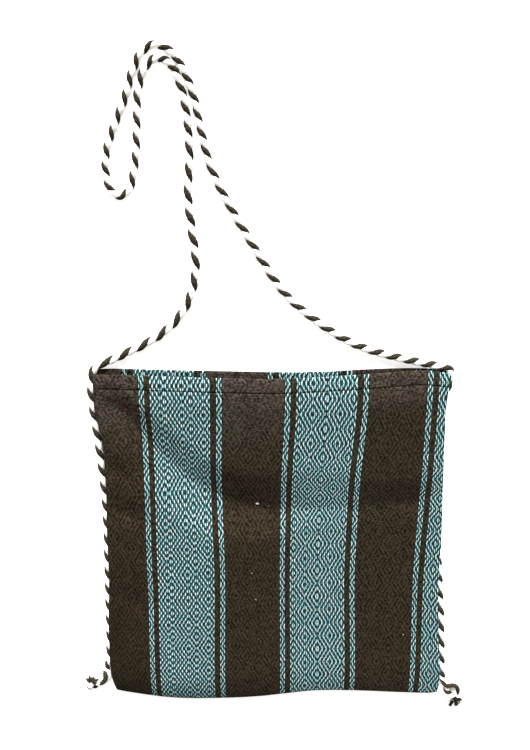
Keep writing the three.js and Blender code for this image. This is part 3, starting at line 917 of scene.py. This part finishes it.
def weave_noise(scale_across, scale_along, detail):
    """Unevenness of the yarn, with a grain of its own across and along the cloth."""
    place = weave_nodes.new("ShaderNodeMapping")
    place.inputs["Scale"].default_value = (scale_across, scale_along, 1)
    weave_links.new(weave_place.outputs["UV"], place.inputs["Vector"])
    noise = weave_nodes.new("ShaderNodeTexNoise")
    noise.inputs["Scale"].default_value = 1
    noise.inputs["Detail"].default_value = detail
    weave_links.new(place.outputs["Vector"], noise.inputs["Vector"])
    return noise.outputs["Fac"]


# Each end has its own shade, and the dye is uneven along it
end_shade_share = 0.5
speck_start = 0.36
speck_reach = 0.3125
end_shade = weave_nodes.new("ShaderNodeTexWhiteNoise")
end_shade.noise_dimensions = "1D"
weave_links.new(weave_math("FLOOR", weave_math("DIVIDE", across_mm, end_width)), end_shade.inputs["W"])
streaks = weave_noise(700, 90, 4)
unevenness = weave_math("MULTIPLY_ADD", end_shade.outputs["Value"], end_shade_share, streaks)
unevenness = weave_math("SUBTRACT", unevenness, end_shade_share / 2, clamp=True)
yarn_speck = weave_noise(900, 1100, 2)
speck = weave_ramp(yarn_speck, speck_start, speck_reach)


def float_tones(width, height, stagger):
    """A chance tone for each small patch of floats of this size, each row of patches moved along."""
    patch = weave_nodes.new("ShaderNodeCombineXYZ")
    row = weave_math("FLOOR", weave_math("DIVIDE", along_mm, height))
    column = weave_math("MULTIPLY_ADD", row, stagger, weave_math("DIVIDE", across_mm, width))
    weave_links.new(weave_math("FLOOR", column), patch.inputs["X"])
    weave_links.new(row, patch.inputs["Y"])
    tone = weave_nodes.new("ShaderNodeTexWhiteNoise")
    tone.noise_dimensions = "2D"
    weave_links.new(patch.outputs["Vector"], tone.inputs["Vector"])
    return tone.outputs["Value"]


cloth_place = weave_nodes.new("ShaderNodeTexCoord")
place_parts = weave_nodes.new("ShaderNodeSeparateXYZ")
weave_links.new(cloth_place.outputs["Object"], place_parts.inputs["Vector"])
place_x, place_y = place_parts.outputs["X"], place_parts.outputs["Y"]

# Turquoise ends over dark weft, dyed unevenly from light turquoise to near white along them. Each float is
# painted pale at its crown as a highlight and deep turquoise at its edges as painted shade.
near_white = (0.66, 0.73, 0.68)
light_turquoise = (0.28, 0.57, 0.59)
deep_turquoise = (0.018, 0.142, 0.180)
tinted_gap = (0.013, 0.040, 0.045)
dark_gap = (0.009, 0.010, 0.008)
dye_start = 0.38
dye_reach = 0.2381
pick_share = 0.75
pick_stagger = 0.37
pick_contrast = 1.6
tone_least = 0.55
tone_change = 0.75
crown_contrast = 1.2
weft_tone = float_tones(2 * end_width, pick_share * pick_height, pick_stagger)
weft_tone = weave_math("POWER", weft_tone, pick_contrast)
warp_tone = float_tones(end_width, pick_height, 0)
warp_tone = weave_math("MULTIPLY_ADD", warp_tone, tone_change, tone_least)
pale_turquoise = weave_mix(weave_ramp(streaks, dye_start, dye_reach), light_turquoise, near_white)
# Painted highlight: each float's crown is paler, by a chance amount per float
painted_crown_highlight = weave_math("POWER", warp_crown, crown_contrast)
painted_crown_highlight = weave_math("MULTIPLY", painted_crown_highlight, warp_tone, clamp=True)
turquoise_warp = weave_mix(painted_crown_highlight, deep_turquoise, pale_turquoise)
turquoise_gap = weave_mix(weft_tone, dark_gap, tinted_gap)
turquoise = weave_mix(warp_up, turquoise_gap, turquoise_warp)

# Brown ends and weft, in which the picks show as short dashes. Towards the mouth it is paler, starting
# higher up
# on the right: partly rubbed and partly painted sheen. It is darker in the lower left corner as painted
# shade.
middle_brown = (0.0430, 0.0322, 0.0195)
corner_shade_brown = (0.0280, 0.0204, 0.0116)
sheen_and_rubbed_brown = (0.0660, 0.0519, 0.0394)
gap_brown = (0.0040, 0.0030, 0.0014)
sheen_and_rubbed_gap_brown = (0.0070, 0.0055, 0.0040)
sheen_rub_low = 0.105
sheen_rub_low_change = 0.05
sheen_rub_top = 0.18
right_start = 0.03
right_reach = 0.06
left_start = -0.10
left_reach = -0.07
bottom_start = -0.02
bottom_reach = -0.08
line_most = 0.5
line_change = -0.2
speck_share = 0.5
in_plain = weave_math("GREATER_THAN", from_wide, plain_start)
# Paler towards the mouth: partly wear, partly painted sheen
to_right = weave_ramp(place_x, right_start, right_reach)
sheen_rub_start = weave_math("MULTIPLY_ADD", to_right, sheen_rub_low_change, sheen_rub_low)
sheen_rub_reach = weave_math("SUBTRACT", sheen_rub_top, sheen_rub_start)
sheen_and_rubbed = weave_math("MULTIPLY", weave_ramp(place_y, sheen_rub_start, sheen_rub_reach), in_plain)
line_share = weave_math("MULTIPLY_ADD", sheen_and_rubbed, line_change, line_most)
line_tone = weave_math("MULTIPLY_ADD", speck, speck_share, 1 - speck_share)
line_tone = weave_math("MULTIPLY", lifted, line_tone)
brown_tone = weave_choice(line_share, weft_tone, line_tone)
# Painted shade: the brown is darker towards the lower left corner
to_left = weave_ramp(place_x, left_start, left_reach)
to_bottom = weave_ramp(place_y, bottom_start, bottom_reach)
painted_corner_shade = weave_math("MULTIPLY", to_left, to_bottom)
lower_brown = weave_mix(painted_corner_shade, middle_brown, corner_shade_brown)
brown_light = weave_mix(sheen_and_rubbed, lower_brown, sheen_and_rubbed_brown)
brown_dark = weave_mix(sheen_and_rubbed, gap_brown, sheen_and_rubbed_gap_brown)
brown = weave_mix(brown_tone, brown_dark, brown_light)
cloth_colour = weave_mix(in_stripe, brown, turquoise)

# Bits of lint that cling to the front, by place and radius
lint_spots = [
    {"x": -0.0150, "y": 0.0526, "radius": 0.0017, "colour": (0.62, 0.60, 0.54)},
    {"x": -0.0030, "y": 0.0500, "radius": 0.0008, "colour": (0.20, 0.19, 0.17)},
    {"x": -0.0210, "y": -0.0251, "radius": 0.0008, "colour": (0.26, 0.25, 0.22)},
    {"x": -0.0170, "y": -0.0576, "radius": 0.0008, "colour": (0.24, 0.23, 0.20)},
    {"x": 0.1465, "y": -0.1070, "radius": 0.0010, "colour": (0.24, 0.23, 0.20)},
    {"x": -0.1465, "y": 0.1590, "radius": 0.0013, "colour": (0.20, 0.018, 0.025)},
]
lint_flatness = 0.7
lint_fray = 1.6
front_level = 0.003
on_front = weave_math("GREATER_THAN", place_parts.outputs["Z"], front_level)
for spot in lint_spots:
    from_x = weave_math("SUBTRACT", place_x, spot["x"])
    from_y = weave_math("SUBTRACT", place_y, spot["y"])
    aside = weave_math("DIVIDE", from_x, spot["radius"])
    ahead = weave_math("DIVIDE", from_y, lint_flatness * spot["radius"])
    away = weave_math("ADD", weave_math("MULTIPLY", aside, aside), weave_math("MULTIPLY", ahead, ahead))
    away = weave_math("SUBTRACT", away, lint_fray / 2)
    frayed_edge = weave_math("MULTIPLY_ADD", yarn_speck, lint_fray, away)
    in_spot = weave_math("MULTIPLY", weave_math("LESS_THAN", frayed_edge, 1), on_front)
    cloth_colour = weave_mix(in_spot, cloth_colour, spot["colour"])

# The yarns' unevenness darkens the cloth in streaks, and their roundness gives it relief
streak_shade = (0.55, 0.55, 0.55)
full_shade = (1.0, 1.0, 1.0)
streak_relief = 0.25
faded = weave_nodes.new("ShaderNodeMix")
faded.data_type = "RGBA"
faded.blend_type = "MULTIPLY"
faded.inputs["Factor"].default_value = 0.35
weave_links.new(cloth_colour, faded.inputs["A"])
weave_links.new(weave_mix(unevenness, streak_shade, full_shade), faded.inputs["B"])
weave_links.new(faded.outputs["Result"], weave_shader.inputs["Base Color"])
weave_relief = weave_nodes.new("ShaderNodeBump")
weave_relief.inputs["Strength"].default_value = 0.5
weave_relief.inputs["Distance"].default_value = 0.0005
weave_height = weave_math("MULTIPLY_ADD", streaks, streak_relief, warp_up)
weave_links.new(weave_height, weave_relief.inputs["Height"])
weave_links.new(weave_relief.outputs["Normal"], weave_shader.inputs["Normal"])
cloth.data.materials.append(woven)

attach(cloth, "root")
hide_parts("cloth_body")


# Floor and light
# The bag lies on a plain white surface under soft light that comes mostly from beyond the strap.
bpy.ops.object.select_all(action="DESELECT")
bpy.ops.mesh.primitive_plane_add(size=24)
floor = bpy.context.object
floor.name = "white_floor"
floor_material = bpy.data.materials.new("white_floor")
floor_material.use_nodes = True
floor_shader = floor_material.node_tree.nodes["Principled BSDF"]
floor_shader.inputs["Base Color"].default_value = (0.90, 0.895, 0.885, 1)
floor_shader.inputs["Roughness"].default_value = 0.9
floor_shader.inputs["Emission Color"].default_value = (1.0, 0.985, 0.955, 1)
floor_shader.inputs["Emission Strength"].default_value = 0.56
floor.data.materials.append(floor_material)

key_data = bpy.data.lights.new("window_light", "SUN")
key_data.energy = 14.0
key_data.angle = math.radians(35)
key = bpy.data.objects.new("window_light", key_data)
key.rotation_euler = (math.radians(-68), math.radians(5), 0)
scene.collection.objects.link(key)

room = bpy.data.worlds.new("white_room")
room.use_nodes = True
room_light = room.node_tree.nodes["Background"]
room_light.inputs["Color"].default_value = (1.0, 0.99, 0.97, 1)
room_light.inputs["Strength"].default_value = 0.55
scene.world = room
scene.view_settings.view_transform = "Standard"
